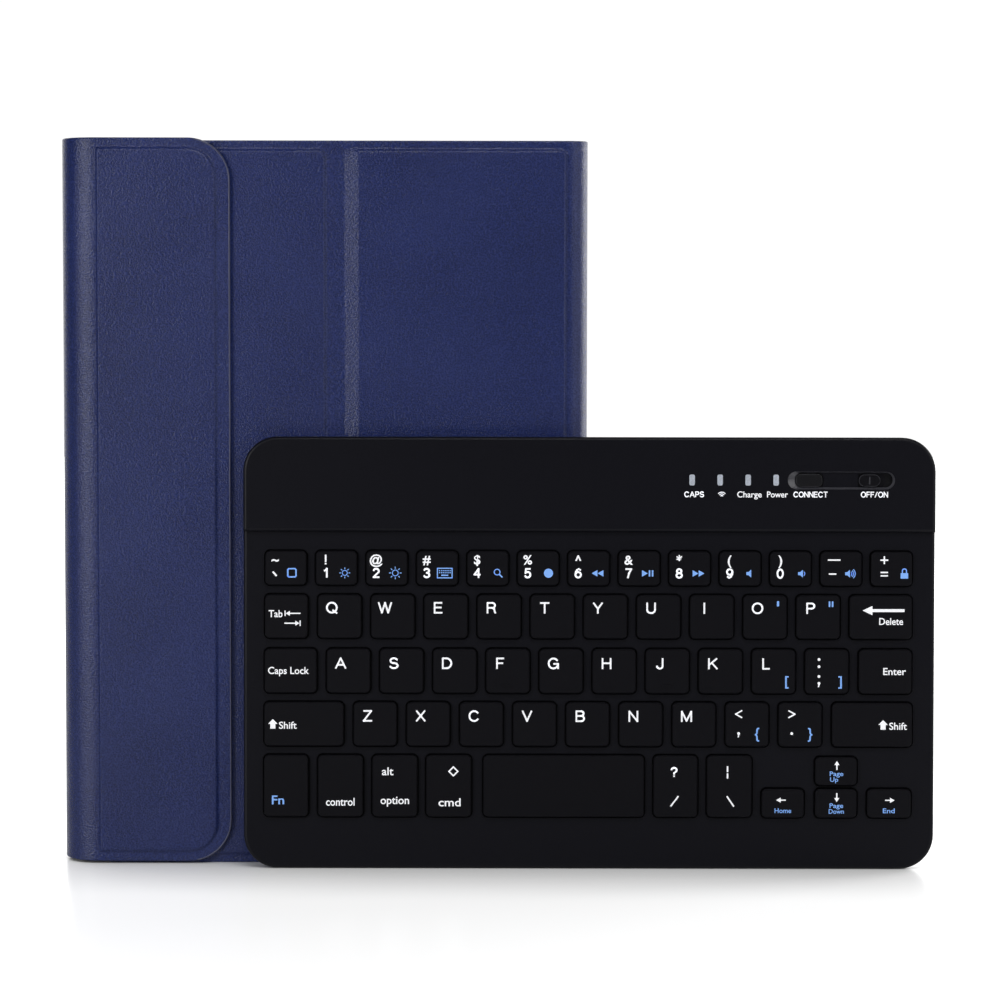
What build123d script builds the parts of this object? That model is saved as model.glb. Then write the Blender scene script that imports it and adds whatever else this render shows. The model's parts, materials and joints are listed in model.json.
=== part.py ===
from build123d import *
import os

os.makedirs("parts", exist_ok=True)

# Frame: +Z up, front faces -Y, origin under the middle of everything, on the ground.
# Case: a portrait folio standing on its short edge. Keyboard: leaning on the case's front.
# ---------------------------------------------------------------- driving dimensions, mm
case_width = 155.6
cover_height = 213.8
rear_lift = 0.7              # the rear cover and its flap sit this much above the front cover
case_left = -128.8           # x of the left bend
case_front = -7.69           # y of the closed flap's front face
skin_t = 0.9
lining_t = 0.4
raise_t = 0.8                # how far the leather over a board stands above the border
bend_r = 10.9                # left bend, outside
spine_r = 6.0                # right spine corners, outside
panel_front = 2.2            # depth of the front cover's raised face behind the flap's
depth_total = 23.4
crease_at = 81.9
panel_a_left = 9.0
panel_a_corner_r = 6.0
panel_a_board = (11.7, 78.3)
panel_b_board = (86.1, 149.2)
rear_board = (14.0, 149.2)
border = 2.8
plateau_r = 2.0              # corners of a raised face
plateau_soft = 0.6           # rounding of a raised face's rim
spine_at = 149.6             # where the right spine's curve starts
split_gap = 0.05             # half of the slit at each fold line

flap_edge = 50.5
flap_corner_r = 12.5
flap_board = (12.0, 45.6)
flap_board_corner_r = 8.5
flap_border = 3.7

magnet_r = 5.0
magnet_places = [(38.0, 62.0), (38.0, 154.0)]
dock_width = (121.0, 135.0)
dock_heights = (40.0, 108.4, 176.8)
dock_long = 30.0
dock_r = 2.0

tablet_w = 134.8
tablet_h = 203.2
tablet_t = 7.2
tablet_corner_r = 8.0
tray_left = 12.0
tray_wall_x = 1.6
tray_wall_z = 1.4
tray_corner_r = 9.5
tray_base_y = (4.6, 6.1)
tray_lip_t = 0.7
tray_lip = 1.0               # how far the lip reaches over the tablet's rim
corner_hold = 18.0           # length of the lips along each side from a corner
cutout_floor = 7.0           # depth where the port and button cut-outs start
port_cutout = 30.0
speaker_cutout = (14.0, 22.0)
button_cutout = (12.0, 24.0)
volume_cutout = (26.0, 62.0)
camera_r = 5.0
camera_from_bay = 9.5
camera_from_top = 16.1
glue_width = (16.0, 77.9)
glue_border = 6.0

kb_w = 203.0
kb_h = 127.0
kb_right = 128.8             # x of the keyboard's right end
kb_foot_y = -2.0             # depth of the back lower edge behind the flap's face
kb_lean = 1.75
kb_settle = 0.0361           # drop that brings the rounded lower edge down to the ground
kb_corner_r = 10.0
kb_wall = 2.0
kb_split = 3.0               # thickness of the lower half of the shell
kb_floor = 1.0
kb_deck = 5.0
kb_hump = 6.5
kb_hump_end = 27.8
kb_back_soft = 1.2
kb_front_soft = 1.0
deck_ceiling = 3.7
hump_ceiling = 5.3
key_top = 6.5
key_skirt = 3.6
key_flange = 3.1
key_roof = 5.6
key_gap = 0.45
key_wall = 1.0
key_r = 1.4
key_edge = 0.3
plunger_r = 1.6
plunger_foot = 4.2
dome_base = (2.4, 1.5, 1.2)  # base radius, top radius and height of a pressed dome
dome_mid = 2.15
home_mark = (2.8, 0.6)
foot_r = 4.0
foot_t = 0.6

# control strip, x from the keyboard's left end, t down from its top edge
lamp_x = [131.5, 139.7, 147.9, 156.1]
lamp_wide = 1.6
lamp_t = (10.9, 14.1)
recess_x = (159.5, 190.9)
recess_t = (9.9, 15.2)
recess_floor = 5.8
button_x = (161.6, 170.0)
button_t = (10.4, 14.8)
slot_x = (180.1, 190.2)
slot_t = (10.6, 14.6)
knob_x = (180.3, 186.7)
control_play = 0.25
port_x = (150.0, 157.6)
port_w = (2.4, 5.0)
port_deep = 6.0
port_shell = 0.5

# inner layers, thickness from the back
layer_x = (3.2, 199.8)
layer_t = (30.2, 114.8)
plate_w = (1.0, 1.3)
membrane_w = (1.3, 1.5)
sheet_w = (1.5, 1.7)
board_w = (1.6, 2.4)
cell_w = (1.6, 5.0)
screw_places = [(7.5, 9), (113, 14), (196, 9), (8, 119), (101.5, 119), (195, 119)]
foot_places = [(14, 15), (189, 15), (14, 113), (189, 113)]
boss_r = 2.2
head_r = 1.6
head_t = 0.7
shank_r = 0.8
beyond = 1.0                 # how far a cutting shape reaches past what it cuts

out = {}


def u(value):
    return case_left + value


def d(value):
    return case_front + value


def block(x0, x1, y0, y1, z0, z1, r=0.0):
    """A block given by its limits, with its corners rounded about Y."""
    body = Pos((x0 + x1) / 2, (y0 + y1) / 2, (z0 + z1) / 2) * Box(x1 - x0, y1 - y0, z1 - z0)
    if r:
        body = fillet(body.edges().filter_by(Axis.Y), r)
    return body


def rounded_at(body, r, corner_x):
    """Rounds only the two corners on one side."""
    picked = [e for e in body.edges().filter_by(Axis.Y) if abs(e.center().X - corner_x) < 1]
    return fillet(picked, r)


def rounded_top(body, r):
    """Rounds the two upper corners only."""
    high = body.bounding_box().max.Z
    return fillet([e for e in body.edges().filter_by(Axis.Y) if e.center().Z > high - 0.1], r)


def tube_quarter(cu, cd, r1, r0, side, back, z0, z1, gap=0.0):
    """A quarter of an upright tube wall: side +1 is the right half, back +1 is the rear half."""
    high = z1 - z0
    ring = Cylinder(r1, high) - Cylinder(r0, high)
    cut = Pos(side * r1, back * (r1 + gap), 0) * Box(2 * r1, 2 * r1, high + 2)
    return Pos(u(cu), d(cd), (z0 + z1) / 2) * (ring & cut)


def soften_rim(body, size, sign=-1):
    """Rounds the rim of the outermost face that looks along sign*Y."""
    faces = body.faces().filter_by(Axis.Y).sort_by(Axis.Y)
    picked = faces[0] if sign < 0 else faces[-1]
    return fillet(picked.outer_wire().edges(), size)


def cover_panel(u0, u1, z0, z1, board, y_face, out_dir):
    """Border plate, raised face and board of a cover panel.

    y_face is the depth of the raised face and out_dir is -1 for a front panel, +1 for a rear one."""
    y_b = y_face - out_dir * raise_t
    y_in = y_b - out_dir * skin_t
    layer = (d(min(y_b, y_in)), d(max(y_b, y_in)))
    plate = block(u(u0), u(u1), *layer, z0, z1)
    mid = y_b - out_dir * skin_t / 3
    face = (d(min(y_face, mid)), d(max(y_face, mid)))
    low, high = z0 + border, z1 - border
    raised = block(u(board[0]), u(board[1]), *face, low, high, plateau_r)
    raised = soften_rim(raised, plateau_soft, out_dir)
    inset = plateau_soft
    stiff = block(
        u(board[0] + inset), u(board[1] - inset), *layer, low + inset, high - inset, plateau_r
    )
    return plate, raised, stiff


def discs(places, y0, y1, r):
    """Flat discs facing Y."""
    made = []
    for pu, pz in places:
        disc = Pos(u(pu), (d(y0) + d(y1)) / 2, pz) * Rot(90, 0, 0) * Cylinder(r, abs(y1 - y0))
        made.append(disc)
    return made


def save(name, shape):
    solids = shape if isinstance(shape, list) else list(shape.solids())
    out[name] = solids
    whole = solids[0] if len(solids) == 1 else Compound(children=solids)
    whole.label = name
    export_step(whole, "parts/" + name + ".step")


# ---------------------------------------------------------------- depths of the case layers
y_panel_border = panel_front + raise_t
y_panel_in = y_panel_border + skin_t
y_panel_back = y_panel_in + lining_t
y_rear_border = depth_total - raise_t
y_rear_in = y_rear_border - skin_t
y_rear_face = y_rear_in - lining_t
spine_mid = (y_panel_border + y_rear_border) / 2
bend_mid = depth_total / 2
rear_z = (rear_lift, rear_lift + cover_height)
camera_place = (tray_left + tray_wall_x + camera_from_bay, cover_height - camera_from_top)
camera_hole = discs([camera_place], -beyond, depth_total - 4, camera_r)[0]

# ---------------------------------------------------------------- front cover, tray half (A)
plate, raised, board = cover_panel(
    panel_a_left, crease_at - split_gap, 0, cover_height, panel_a_board, panel_front, -1
)
plate = rounded_at(plate, panel_a_corner_r, u(panel_a_left))
closure = discs(magnet_places, y_panel_border, y_panel_in, magnet_r)
skin_a = plate + raised - board - camera_hole
board_a = board - camera_hole
for magnet in closure:
    board_a = board_a - magnet
lining_a = block(
    u(panel_a_left), u(crease_at - split_gap), d(y_panel_in), d(y_panel_back), 0, cover_height
)
lining_a = rounded_at(lining_a, panel_a_corner_r, u(panel_a_left)) - camera_hole
save("tray_panel_skin", skin_a)
save("tray_panel_board", board_a)
save("tray_panel_lining", lining_a)
save("closure_plates", closure)

# ---------------------------------------------------------------- front cover, prop half (B)
plate, raised, board = cover_panel(
    crease_at + split_gap, spine_at, 0, cover_height, panel_b_board, panel_front, -1
)
front_turn = y_panel_border + spine_r
skin_b = plate + raised - board
skin_b = skin_b + tube_quarter(
    spine_at, front_turn, spine_r, spine_r - skin_t, 1, -1, 0, cover_height
)
skin_b = skin_b + block(
    u(case_width - skin_t), u(case_width), d(front_turn), d(spine_mid - split_gap), 0, cover_height
)
lining_b = block(
    u(crease_at + split_gap), u(spine_at), d(y_panel_in), d(y_panel_back), 0, cover_height
)
lining_b = lining_b + tube_quarter(
    spine_at, front_turn, spine_r - skin_t, spine_r - skin_t - lining_t, 1, -1, 0, cover_height
)
lining_b = lining_b + block(
    u(case_width - skin_t - lining_t), u(case_width - skin_t), d(front_turn),
    d(spine_mid - split_gap), 0, cover_height,
)
save("prop_panel_skin", skin_b)
save("prop_panel_board", board)
save("prop_panel_lining", lining_b)

# ---------------------------------------------------------------- rear cover (R)
plate, raised, board = cover_panel(
    bend_r, spine_at, rear_z[0], rear_z[1], rear_board, depth_total, 1
)
rear_turn = y_rear_border - spine_r
skin_r = plate + raised - board
skin_r = skin_r + tube_quarter(
    spine_at, rear_turn, spine_r, spine_r - skin_t, 1, 1, rear_z[0], rear_z[1]
)
skin_r = skin_r + block(
    u(case_width - skin_t), u(case_width), d(spine_mid + split_gap), d(rear_turn),
    rear_z[0], rear_z[1],
)
skin_r = skin_r + tube_quarter(
    bend_r, bend_mid, bend_r, bend_r - skin_t, -1, 1, rear_z[0], rear_z[1], split_gap
)
lining_r = block(u(bend_r), u(spine_at), d(y_rear_face), d(y_rear_in), rear_z[0], rear_z[1])
lining_r = lining_r + tube_quarter(
    spine_at, rear_turn, spine_r - skin_t, spine_r - skin_t - lining_t, 1, 1, rear_z[0], rear_z[1]
)
lining_r = lining_r + block(
    u(case_width - skin_t - lining_t), u(case_width - skin_t), d(spine_mid + split_gap),
    d(rear_turn), rear_z[0], rear_z[1],
)
lining_r = lining_r + tube_quarter(
    bend_r, bend_mid, bend_r - skin_t, bend_r - skin_t - lining_t, -1, 1,
    rear_z[0], rear_z[1], split_gap,
)
dock = []
for zc in dock_heights:
    low, high = zc - dock_long / 2, zc + dock_long / 2
    dock.append(
        block(u(dock_width[0]), u(dock_width[1]), d(y_rear_in), d(y_rear_border), low, high, dock_r)
    )
board_r = board
for magnet in dock:
    board_r = board_r - magnet
save("keyboard_cover_skin", skin_r)
save("keyboard_cover_board", board_r)
save("keyboard_cover_lining", lining_r)
save("dock_magnets", dock)

# ---------------------------------------------------------------- closure flap (F)
flap_in = raise_t + skin_t
plate = block(u(bend_r), u(flap_edge), d(raise_t), d(flap_in), *rear_z)
plate = rounded_at(plate, flap_corner_r, u(flap_edge))
board_z = (rear_z[0] + flap_border, rear_z[1] - flap_border)
raised = block(
    u(flap_board[0] - plateau_soft), u(flap_board[1] + plateau_soft), d(0), d(flap_in - skin_t / 2),
    board_z[0] - plateau_soft, board_z[1] + plateau_soft,
)
raised = rounded_at(raised, flap_board_corner_r, u(flap_board[1] + plateau_soft))
raised = soften_rim(raised, plateau_soft)
board = block(u(flap_board[0]), u(flap_board[1]), d(raise_t), d(flap_in), *board_z)
board = rounded_at(board, flap_board_corner_r, u(flap_board[1]))
board = rounded_at(board, plateau_r, u(flap_board[0]))
skin_f = plate + raised - board
skin_f = skin_f + tube_quarter(
    bend_r, bend_mid, bend_r, bend_r - skin_t, -1, -1, rear_z[0], rear_z[1], split_gap
)
lining_f = block(
    u(bend_r), u(flap_edge), d(flap_in), d(flap_in + lining_t), rear_z[0], rear_z[1]
)
lining_f = rounded_at(lining_f, flap_corner_r, u(flap_edge))
lining_f = lining_f + tube_quarter(
    bend_r, bend_mid, bend_r - skin_t, bend_r - skin_t - lining_t, -1, -1,
    rear_z[0], rear_z[1], split_gap,
)
flap_magnets = discs(magnet_places, raise_t, flap_in, magnet_r)
for magnet in flap_magnets:
    board = board - magnet
save("flap_skin", skin_f)
save("flap_board", board)
save("flap_lining", lining_f)
save("flap_magnets", flap_magnets)

# ---------------------------------------------------------------- tablet tray
tray_right = tray_left + tablet_w + 2 * tray_wall_x
tray_high = tablet_h + 2 * tray_wall_z
tray_z0 = (cover_height - tray_high) / 2
tray_z1 = tray_z0 + tray_high
bay_y = (tray_base_y[1], tray_base_y[1] + tablet_t)
bay_x = (tray_left + tray_wall_x, tray_right - tray_wall_x)
bay_z = (tray_z0 + tray_wall_z, tray_z1 - tray_wall_z)
tray_mouth_y = (d(bay_y[1] - beyond), d(bay_y[1] + tray_lip_t + beyond))
tray = block(
    u(tray_left), u(tray_right), d(tray_base_y[0]), d(bay_y[1] + tray_lip_t), tray_z0, tray_z1,
    tray_corner_r,
)
tray = tray - block(
    u(bay_x[0]), u(bay_x[1]), d(bay_y[0]), d(bay_y[1]), bay_z[0], bay_z[1], tablet_corner_r
)
mouth = block(
    u(bay_x[0] + tray_lip), u(bay_x[1] - tray_lip), *tray_mouth_y,
    bay_z[0] + tray_lip, bay_z[1] - tray_lip, tablet_corner_r - tray_lip,
)
mouth = mouth + block(
    u(bay_x[0]), u(bay_x[1]), *tray_mouth_y, bay_z[0] + corner_hold, bay_z[1] - corner_hold
)
mouth = mouth + block(
    u(bay_x[0] + corner_hold), u(bay_x[1] - corner_hold), *tray_mouth_y, bay_z[0], bay_z[1]
)
tray = tray - mouth - camera_hole
bay_mid_x = (bay_x[0] + bay_x[1]) / 2
cutout_y = (d(cutout_floor), d(depth_total))
for wide, at, z0, z1 in (
    (port_cutout, bay_mid_x, tray_z0 - beyond, bay_z[0] + beyond),
    (speaker_cutout[0], bay_x[1] - speaker_cutout[1], bay_z[1] - beyond, tray_z1 + beyond),
    (button_cutout[0], bay_x[0] + button_cutout[1], bay_z[1] - beyond, tray_z1 + beyond),
):
    tray = tray - block(u(at - wide / 2), u(at + wide / 2), *cutout_y, z0, z1)
tray = tray - block(
    u(tray_left - beyond), u(bay_x[0] + beyond), *cutout_y,
    bay_z[1] - volume_cutout[1], bay_z[1] - volume_cutout[0],
)
glue = block(
    u(glue_width[0]), u(glue_width[1]), d(y_panel_back), d(tray_base_y[0]),
    tray_z0 + glue_border, tray_z1 - glue_border, 2 * plateau_r,
)
save("tablet_tray", tray)
save("tray_adhesive", glue - camera_hole)

# ---------------------------------------------------------------- keyboard, in its own frame
# local x from its left end, z up from its lower long edge, -y is the thickness from the back


def kb_block(x0, x1, t0, t1, w0, w1, r=0.0):
    """A block on the keyboard: t runs down from the top edge, w forward from the back."""
    return block(x0, x1, -w1, -w0, kb_h - t1, kb_h - t0, r)


def kb_disc(x, t, w0, w1, r):
    return Pos(x, -(w0 + w1) / 2, kb_h - t) * Rot(90, 0, 0) * Cylinder(r, w1 - w0)


def stand(shape):
    """Moves a keyboard part from its own frame to where the keyboard leans."""
    return Pos(kb_right - kb_w, d(kb_foot_y), -kb_settle) * Rot(-kb_lean, 0, 0) * shape


def save_kb(name, shape):
    solids = shape if isinstance(shape, list) else list(shape.solids())
    save(name, [stand(s) for s in solids])


row_number = (33.5, 43.5)
row_upper = (46.3, 59.1)
row_home = (62.2, 75.2)
row_lower = (77.9, 90.8)
row_space = (93.5, 111.6)
arrow_high = (93.9, 102.2)
arrow_low = (103.3, 111.7)

key_groups = {
    "key_number_row": [(6.5 + 14.8 * i, 12.0, row_number) for i in range(13)],
    "key_upper_letters": [(21.9 + 15.6 * i, 12.7, row_upper) for i in range(10)],
    "key_home_letters": [(24.5 + 15.6 * i, 12.7, row_home) for i in range(10)],
    "key_lower_letters": [(32.4 + 15.6 * i, 12.6, row_lower) for i in range(9)],
    "key_tab": [(6.4, 12.5, row_upper)],
    "key_delete": [(177.9, 18.2, row_upper)],
    "key_caps_lock": [(6.3, 15.2, row_home)],
    "key_enter": [(180.7, 15.4, row_home)],
    "key_shift_left": [(6.2, 23.2, row_lower)],
    "key_shift_right": [(172.9, 23.4, row_lower)],
    "key_fn": [(6.1, 12.9, row_space)],
    "key_control": [(21.9, 13.2, row_space)],
    "key_option": [(37.9, 13.2, row_space)],
    "key_command": [(53.7, 13.2, row_space)],
    "key_space": [(70.5, 47.2, row_space)],
    "key_slash": [(120.5, 12.9, row_space)],
    "key_backslash": [(136.2, 13.1, row_space)],
    "key_arrow_left": [(152.3, 12.4, arrow_low)],
    "key_arrow_up": [(168.0, 12.2, arrow_high)],
    "key_arrow_down": [(168.0, 12.2, arrow_low)],
    "key_arrow_right": [(183.3, 12.8, arrow_low)],
}


def key_cap(x, wide, row):
    """A hollow key cap with a retaining flange and a plunger over its dome."""
    t0, t1 = row
    flange_out = 0.75 if t1 - t0 > 9 else 0.5
    cap = kb_block(x, x + wide, t0, t1, key_skirt - 0.2, key_top, key_r)
    cap = chamfer(cap.faces().sort_by(Axis.Y)[0].edges(), key_edge)
    flange = kb_block(
        x - flange_out, x + wide + flange_out, t0 - flange_out, t1 + flange_out,
        key_flange, key_skirt, key_r,
    )
    hollow = kb_block(
        x + key_wall, x + wide - key_wall, t0 + key_wall, t1 - key_wall,
        key_flange - beyond, key_roof, key_r - key_wall + 0.2,
    )
    plunger = kb_disc(x + wide / 2, (t0 + t1) / 2, plunger_foot, key_roof + 0.2, plunger_r)
    return cap + flange - hollow + plunger


openings = []
domes = []
for name, keys in key_groups.items():
    made = []
    for index, (x, wide, row) in enumerate(keys):
        cap = key_cap(x, wide, row)
        if name == "key_home_letters" and index in (3, 6):
            mid = x + wide / 2
            mark_t = row[1] - 2
            cap = cap + kb_block(
                mid - home_mark[0] / 2, mid + home_mark[0] / 2, mark_t - home_mark[1], mark_t,
                key_top - 0.2, key_top + 0.2,
            )
        made.append(cap.solids()[0])
        openings.append(
            kb_block(
                x - key_gap, x + wide + key_gap, row[0] - key_gap, row[1] + key_gap,
                kb_floor, key_top + beyond, key_r + key_gap,
            )
        )
        domes.append(Pos(x + wide / 2, -dome_mid, kb_h - (row[0] + row[1]) / 2))
    save_kb(name, made)

# shell halves
inner_r = kb_corner_r - kb_wall
lower = kb_block(0, kb_w, 0, kb_h, 0, kb_split, kb_corner_r)
lower = soften_rim(lower, kb_back_soft, 1)
lower = lower - kb_block(
    kb_wall, kb_w - kb_wall, kb_wall, kb_h - kb_wall, kb_floor, kb_split + beyond, inner_r
)
upper = kb_block(0, kb_w, 0, kb_h, kb_split, kb_deck, kb_corner_r)
upper = soften_rim(upper, kb_front_soft)
hump = rounded_top(kb_block(0, kb_w, 0, kb_hump_end, kb_split, kb_hump), kb_corner_r)
hump = soften_rim(hump, kb_front_soft)
hump_room = kb_block(
    kb_wall, kb_w - kb_wall, kb_wall, kb_hump_end - kb_wall, kb_split - beyond, hump_ceiling
)
upper = upper + hump - kb_block(
    kb_wall, kb_w - kb_wall, kb_wall, kb_h - kb_wall, kb_split - beyond, deck_ceiling, inner_r
)
upper = upper - rounded_top(hump_room, inner_r)

# control strip: indicator windows, recess with button and slide switch
above = kb_hump + beyond
lamps = []
for x in lamp_x:
    lamps.append(kb_block(x - lamp_wide / 2, x + lamp_wide / 2, *lamp_t, board_w[1], kb_hump, 0.5))
recess_r = (recess_t[1] - recess_t[0]) / 2 - 0.05
recess = kb_block(*recess_x, *recess_t, recess_floor, above, recess_r)
button_hole = kb_block(*button_x, *button_t, deck_ceiling, above, 1.6)
slider_slot = kb_block(*slot_x, *slot_t, deck_ceiling, above, 0.5)
port_room = kb_block(
    port_x[0] - 0.1, port_x[1] + 0.1, -beyond, kb_wall + 0.1, port_w[0] - 0.1, port_w[1] + 0.1
)
upper = upper - recess - button_hole - slider_slot - port_room
lower = lower - port_room
for lamp in lamps:
    upper = upper - lamp
for hole in openings:
    upper = upper - hole

# screws, bosses and posts
screws = []
for x, t in screw_places:
    in_strip = t < kb_hump_end
    boss_top = hump_ceiling + 0.3 if in_strip else deck_ceiling + 0.2
    upper = upper + kb_disc(x, t, kb_floor, boss_top, boss_r)
    upper = upper - kb_disc(x, t, head_t, 3.4, shank_r)
    lower = lower - kb_disc(x, t, -beyond, head_t, head_r + 0.1)
    lower = lower - kb_disc(x, t, 0, kb_floor + 0.5, shank_r + 0.05)
    screw = kb_disc(x, t, head_t, 3.4, shank_r) + kb_disc(x, t, 0.05, head_t, head_r)
    screws.append((screw - kb_disc(x, t, -0.2, head_t / 2, 0.6)).solids()[0])
for x, t in [(120, 6), (120, 23), (190, 23)]:
    lower = lower + kb_disc(x, t, kb_floor / 2, board_w[0], 1.5)
feet = [kb_disc(x, t, -foot_t, 0, foot_r) for x, t in foot_places]
save_kb("keyboard_top_frame", upper)
save_kb("keyboard_bottom_cover", lower)
save_kb("keyboard_screws", screws)
save_kb("rubber_feet", feet)
save_kb("indicator_lenses", lamps)

# inner layers
membrane = kb_block(*layer_x, *layer_t, *membrane_w, 2) + kb_block(150, 162, 22, 32, *membrane_w)
dome_sheet = kb_block(*layer_x, *layer_t, *sheet_w, 2)
for place in domes:
    dome_sheet = dome_sheet + place * Rot(90, 0, 0) * Cone(*dome_base)
save_kb("key_support_plate", kb_block(*layer_x, *layer_t, *plate_w, 2))
save_kb("membrane_sheet", membrane)
save_kb("rubber_domes", dome_sheet)

# electronics in the raised strip
port = kb_block(*port_x, 0.3, 0.3 + port_deep, *port_w)
port = fillet(port.edges().filter_by(Axis.Z), 0.6)
port = port - kb_block(
    port_x[0] + port_shell, port_x[1] - port_shell, -beyond, port_deep - 0.4,
    port_w[0] + port_shell, port_w[1] - port_shell,
)
port = port + kb_block(port_x[0] + 1.6, port_x[1] - 1.6, 1.2, port_deep - 0.2, 3.5, 3.9)
save_kb("circuit_board", kb_block(117.5, 192.0, 4.0, 25.2, *board_w, 1))
save_kb("battery", kb_block(12, 108, 4.2, 24.6, *cell_w, 1.5))
save_kb("usb_port", port)
save_kb("dock_plates", [kb_block(x, x + dock_long, 6, 20, 1.0, 1.5, 1) for x in (25, 75, 140)])
save_kb("connect_switch_body", kb_block(163.0, 168.6, 10.8, 14.4, board_w[1], 4.2, 0.4))
save_kb("power_switch_body", kb_block(178.6, 191.9, 10.0, 15.2, board_w[1], 4.7, 0.4))

# the button and the slider, each with a flange under the frame
button = kb_block(
    button_x[0] + control_play, button_x[1] - control_play,
    button_t[0] + control_play, button_t[1] - control_play, 5.0, kb_hump - 0.1, 1.5,
)
button = soften_rim(button, 0.35)
button = button + kb_block(
    button_x[0] - 0.4, button_x[1] + 0.4, button_t[0] - 0.4, button_t[1] + 0.4, 4.8, 5.25, 1.8
)
knob = kb_block(*knob_x, slot_t[0] + 0.2, slot_t[1] - 0.2, 5.0, recess_floor + 0.1, 0.5)
knob = knob + kb_block(179.0, 188.2, slot_t[0] - 0.6, slot_t[1] + 0.6, 4.75, 5.25, 0.4)
for x in (181.7, 183.5, 185.3):
    knob = knob + kb_block(x - 0.35, x + 0.35, 11.2, 14.0, recess_floor, kb_hump - 0.1)
save_kb("connect_button", button)
save_kb("power_slider", knob)
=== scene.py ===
import json
import math

import bpy
import numpy as np
from mathutils import Matrix, Vector


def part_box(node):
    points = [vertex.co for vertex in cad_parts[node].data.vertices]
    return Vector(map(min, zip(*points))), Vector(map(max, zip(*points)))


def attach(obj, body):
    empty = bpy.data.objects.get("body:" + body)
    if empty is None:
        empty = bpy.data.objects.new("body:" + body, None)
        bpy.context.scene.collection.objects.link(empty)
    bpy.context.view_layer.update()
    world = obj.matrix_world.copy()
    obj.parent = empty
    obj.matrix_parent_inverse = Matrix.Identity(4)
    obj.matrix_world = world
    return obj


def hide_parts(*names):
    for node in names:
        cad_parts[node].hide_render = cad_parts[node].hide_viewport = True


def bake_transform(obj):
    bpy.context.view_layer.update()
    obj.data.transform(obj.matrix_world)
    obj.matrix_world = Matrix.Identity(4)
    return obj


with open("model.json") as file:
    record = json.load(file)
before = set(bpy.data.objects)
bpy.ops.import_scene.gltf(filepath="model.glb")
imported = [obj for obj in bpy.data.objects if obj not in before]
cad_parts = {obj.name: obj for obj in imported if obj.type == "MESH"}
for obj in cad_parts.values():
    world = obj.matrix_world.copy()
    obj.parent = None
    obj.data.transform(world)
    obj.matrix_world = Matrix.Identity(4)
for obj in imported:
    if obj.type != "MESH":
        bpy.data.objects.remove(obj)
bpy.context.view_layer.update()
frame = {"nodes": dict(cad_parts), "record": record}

# Lengths are in millimetres and become metres when a mesh is made.
MM = 0.001


def limits(node):
    """A CAD node's lowest and highest corners, in millimetres."""
    low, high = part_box(node)
    return [c / MM for c in low], [c / MM for c in high]


# ------------------------------------------------------------------ planes of the case
tray_low, tray_high = limits("tray_panel_skin")
prop_low, _ = limits("prop_panel_skin")
rear_low, rear_high = limits("keyboard_cover_skin")
flap_low, flap_high = limits("flap_skin")
RAISE = 0.8                   # how far the covers' raised middles stand out
SKIN = 0.9                    # thickness of the leather
LINING = 0.4                  # thickness of the lining
SPINE_R = 6.0                 # corners of the right spine, outside
LEFT, RIGHT = rear_low[0], rear_high[0]
FRONT, BACK = flap_low[1], rear_high[1]
CREASE = (tray_high[0] + prop_low[0]) / 2
PANEL_Y = tray_low[1] + RAISE
FLAP_Y = FRONT + RAISE
REAR_Y = BACK - RAISE
BEND_R = (REAR_Y - FLAP_Y) / 2
SPINE_X = RIGHT - SPINE_R
FLAP_CORNER = 12.5            # corners of the flap's free side

# ------------------------------------------------------------------ the keyboard's own frame
KB_H = 127.0                  # from its lower edge to its upper edge
KB_LEAN = math.radians(1.75)
KB_SETTLE = 0.0361            # lowers the leaning keyboard on to the floor
KB_FOOT_Y = FRONT - 2.0
KB_TOP = 6.5                  # its face above its back
kb_low, _ = limits("keyboard_bottom_cover")
KEYBOARD = (Matrix.Translation((kb_low[0], KB_FOOT_Y, -KB_SETTLE))
            @ Matrix.Rotation(-KB_LEAN, 4, "X"))


def on_keyboard(x, t, w):
    """x from the keyboard's left end, t down from its top edge, w forward from its back."""
    return KEYBOARD @ Vector((x, -w, KB_H - t))


# ------------------------------------------------------------------ materials


class Nodes:
    """A material's node tree, with short ways to add and link nodes."""

    def __init__(self, name):
        self.material = bpy.data.materials.new(name)
        self.material.use_nodes = True
        self.tree = self.material.node_tree
        self.shader = self.tree.nodes["Principled BSDF"]
        self.place = self.tree.nodes.new("ShaderNodeTexCoord").outputs["Object"]

    def add(self, kind, **values):
        node = self.tree.nodes.new(kind)
        for key, value in values.items():
            key = key.replace("_", " ")
            node.inputs[key].default_value = value
        return node

    def link(self, source, target):
        self.tree.links.new(source, target)

    def noise(self, scale, detail=2.0, rough=0.5):
        node = self.add("ShaderNodeTexNoise", Scale=scale, Detail=detail, Roughness=rough)
        self.link(self.place, node.inputs["Vector"])
        return node.outputs["Fac"]

    def cells(self, scale, smooth=0.6):
        node = self.tree.nodes.new("ShaderNodeTexVoronoi")
        node.feature = "SMOOTH_F1"
        node.inputs["Scale"].default_value = scale
        node.inputs["Smoothness"].default_value = smooth
        self.link(self.place, node.inputs["Vector"])
        return node.outputs["Distance"]

    def ramp(self, source, low, high, at=(0.0, 1.0)):
        node = self.tree.nodes.new("ShaderNodeValToRGB")
        node.color_ramp.elements[0].position = at[0]
        node.color_ramp.elements[1].position = at[1]
        node.color_ramp.elements[0].color = (*low, 1)
        node.color_ramp.elements[1].color = (*high, 1)
        self.link(source, node.inputs["Fac"])
        return node.outputs["Color"]

    def maths(self, kind, first, second):
        node = self.tree.nodes.new("ShaderNodeMath")
        node.operation = kind
        for socket, value in zip(node.inputs, (first, second)):
            if isinstance(value, float):
                socket.default_value = value
            else:
                self.link(value, socket)
        return node.outputs[0]

    def bump(self, height, distance, strength=1.0):
        node = self.add("ShaderNodeBump", Strength=strength, Distance=distance)
        self.link(height, node.inputs["Height"])
        self.link(node.outputs["Normal"], self.shader.inputs["Normal"])

    def set(self, **values):
        for key, value in values.items():
            self.shader.inputs[key.replace("_", " ")].default_value = value


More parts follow.
